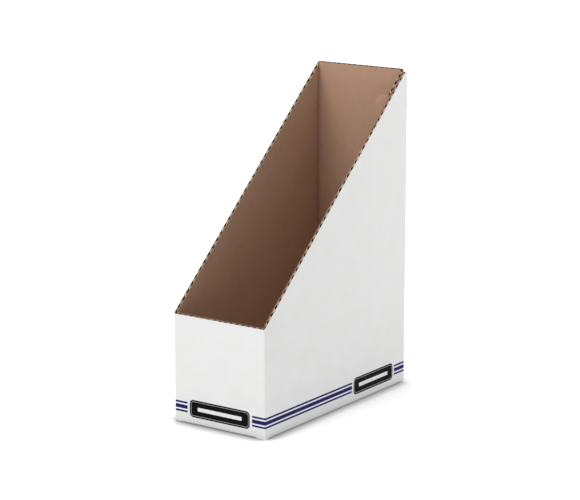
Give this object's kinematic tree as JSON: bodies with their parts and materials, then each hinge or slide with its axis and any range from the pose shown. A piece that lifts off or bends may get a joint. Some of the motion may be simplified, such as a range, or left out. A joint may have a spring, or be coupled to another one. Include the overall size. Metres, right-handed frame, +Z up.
{
  "type": "magazine file holder",
  "caption": "Corrugated board magazine file, open at the top, with a low front, slanted side walls and a folded interlocking bottom; knocks down flat at its creases.",
  "frame": {"origin": "centre of the footprint at floor level", "axes": "+Z up; -Y is the low open front, +Y the tall back; +X is the right wall, seen from the front"},
  "size_m": [0.1016, 0.2286, 0.3048],
  "materials": {
    "white_liner": "matte white-faced liner",
    "kraft_liner": "matte brown kraft liner",
    "fluting_paper": "rough brown fluting paper"
  },
  "bodies": {
    "right_wall": {"right_wall_outer_liner": "white_liner", "right_wall_fluting": "fluting_paper", "right_wall_inner_liner": "kraft_liner", "glue_flap_outer_liner": "kraft_liner", "glue_flap_fluting": "fluting_paper", "glue_flap_inner_liner": "kraft_liner"},
    "front_wall": {"front_wall_outer_liner": "white_liner", "front_wall_fluting": "fluting_paper", "front_wall_inner_liner": "kraft_liner"},
    "left_wall": {"left_wall_outer_liner": "white_liner", "left_wall_fluting": "fluting_paper", "left_wall_inner_liner": "kraft_liner"},
    "back_wall": {"back_wall_outer_liner": "white_liner", "back_wall_fluting": "fluting_paper", "back_wall_inner_liner": "kraft_liner"},
    "glue_ear": {"glue_ear_outer_liner": "kraft_liner", "glue_ear_fluting": "fluting_paper", "glue_ear_inner_liner": "kraft_liner"},
    "right_bottom_flap": {"right_bottom_flap_outer_liner": "white_liner", "right_bottom_flap_fluting": "fluting_paper", "right_bottom_flap_inner_liner": "kraft_liner", "lock_tongue_outer_liner": "white_liner", "lock_tongue_fluting": "fluting_paper", "lock_tongue_inner_liner": "kraft_liner"},
    "left_bottom_flap": {"left_bottom_flap_outer_liner": "white_liner", "left_bottom_flap_fluting": "fluting_paper", "left_bottom_flap_inner_liner": "kraft_liner"},
    "front_bottom_flap": {"front_bottom_flap_outer_liner": "white_liner", "front_bottom_flap_fluting": "fluting_paper", "front_bottom_flap_inner_liner": "kraft_liner"},
    "back_bottom_flap": {"back_bottom_flap_outer_liner": "white_liner", "back_bottom_flap_fluting": "fluting_paper", "back_bottom_flap_inner_liner": "kraft_liner"}
  },
  "joints": [
    {"name": "front_right_crease", "type": "hinge", "parent": "right_wall", "child": "front_wall", "pos_m": [0.0508, -0.1143, 0], "axis": [0, 0, 1], "range_deg": [0, 84]},
    {"name": "front_left_crease", "type": "hinge", "parent": "front_wall", "child": "left_wall", "pos_m": [-0.0445, -0.1113, 0], "axis": [0, 0, -1], "range_deg": [0, 84]},
    {"name": "back_right_crease", "type": "hinge", "parent": "right_wall", "child": "back_wall", "pos_m": [0.0445, 0.1113, 0], "axis": [0, 0, 1], "range_deg": [0, 84]},
    {"name": "glue_ear_crease", "type": "hinge", "parent": "right_wall", "child": "glue_ear", "pos_m": [0.0445, 0.0918, 0], "axis": [0, 0, 1], "range_deg": [0, 75]},
    {"name": "right_flap_crease", "type": "hinge", "parent": "right_wall", "child": "right_bottom_flap", "pos_m": [0.0508, 0, 0], "axis": [0, -1, 0], "range_deg": [0, 261]},
    {"name": "front_flap_crease", "type": "hinge", "parent": "front_wall", "child": "front_bottom_flap", "pos_m": [0, -0.1143, 0], "axis": [-1, 0, 0], "range_deg": [0, 261]},
    {"name": "back_flap_crease", "type": "hinge", "parent": "back_wall", "child": "back_bottom_flap", "pos_m": [0, 0.1143, 0], "axis": [1, 0, 0], "range_deg": [0, 261]},
    {"name": "left_flap_crease", "type": "hinge", "parent": "left_wall", "child": "left_bottom_flap", "pos_m": [-0.0508, 0, 0], "axis": [0, 1, 0], "range_deg": [0, 90]}
  ],
  "couplings": [
    {"joint": "front_left_crease", "follows": "front_right_crease", "ratio": 1},
    {"joint": "back_right_crease", "follows": "front_right_crease", "ratio": 1},
    {"joint": "glue_ear_crease", "follows": "front_right_crease", "ratio": 0.89},
    {"joint": "right_flap_crease", "follows": "front_right_crease", "ratio": 3.1},
    {"joint": "front_flap_crease", "follows": "front_right_crease", "ratio": 3.1},
    {"joint": "back_flap_crease", "follows": "front_right_crease", "ratio": 3.1},
    {"joint": "left_flap_crease", "follows": "front_right_crease", "ratio": 1.07}
  ]
}
